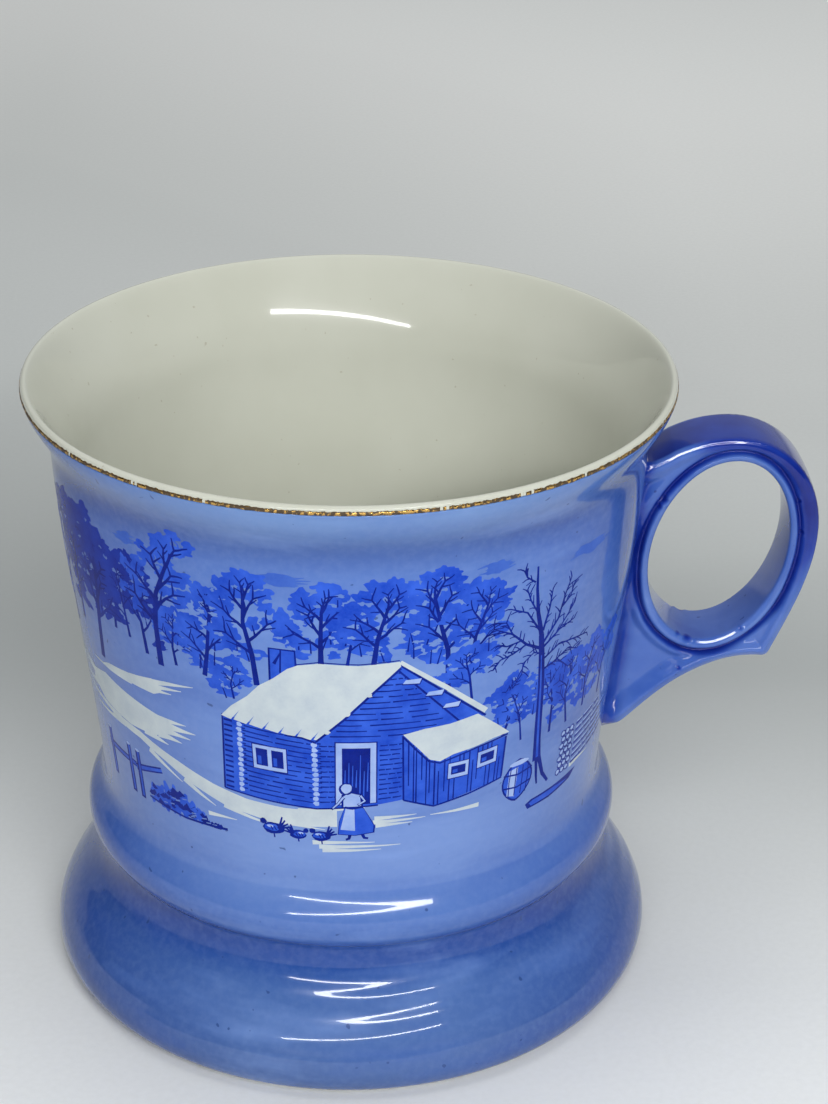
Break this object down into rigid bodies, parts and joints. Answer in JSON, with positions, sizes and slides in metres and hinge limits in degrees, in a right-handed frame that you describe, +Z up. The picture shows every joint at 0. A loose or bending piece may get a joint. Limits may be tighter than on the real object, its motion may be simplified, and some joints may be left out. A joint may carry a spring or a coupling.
{
  "type": "shaving mug",
  "caption": "Glazed porcelain shaving mug with a heavy flared base, a rolled belt, a flared gilt lip, a ring handle and a printed blue winter scene.",
  "frame": {"origin": "on the cup's axis, in the plane of the foot ring that the mug stands on", "axes": "+Z up along the cup's axis, +X from the axis towards the handle, -Y faces the front of the printed scene"},
  "size_m": [0.1181, 0.0954, 0.0963],
  "materials": {
    "bisque_porcelain": "unglazed, satin matt",
    "blue_glaze": "glossy",
    "cobalt_glaze": "glossy",
    "white_glaze": "glossy",
    "print_blue": "glossy",
    "gilt": "worn, satin"
  },
  "bodies": {
    "root": {"cup_body": "bisque_porcelain", "handle": "bisque_porcelain", "handle_luting_slip": "bisque_porcelain", "outer_blue_glaze": "blue_glaze", "handle_cobalt_glaze": "cobalt_glaze", "liner_glaze": "white_glaze", "underside_glaze": "white_glaze", "winter_scene_transfer": "print_blue", "gilt_rim_line": "gilt"}
  },
  "joints": []
}
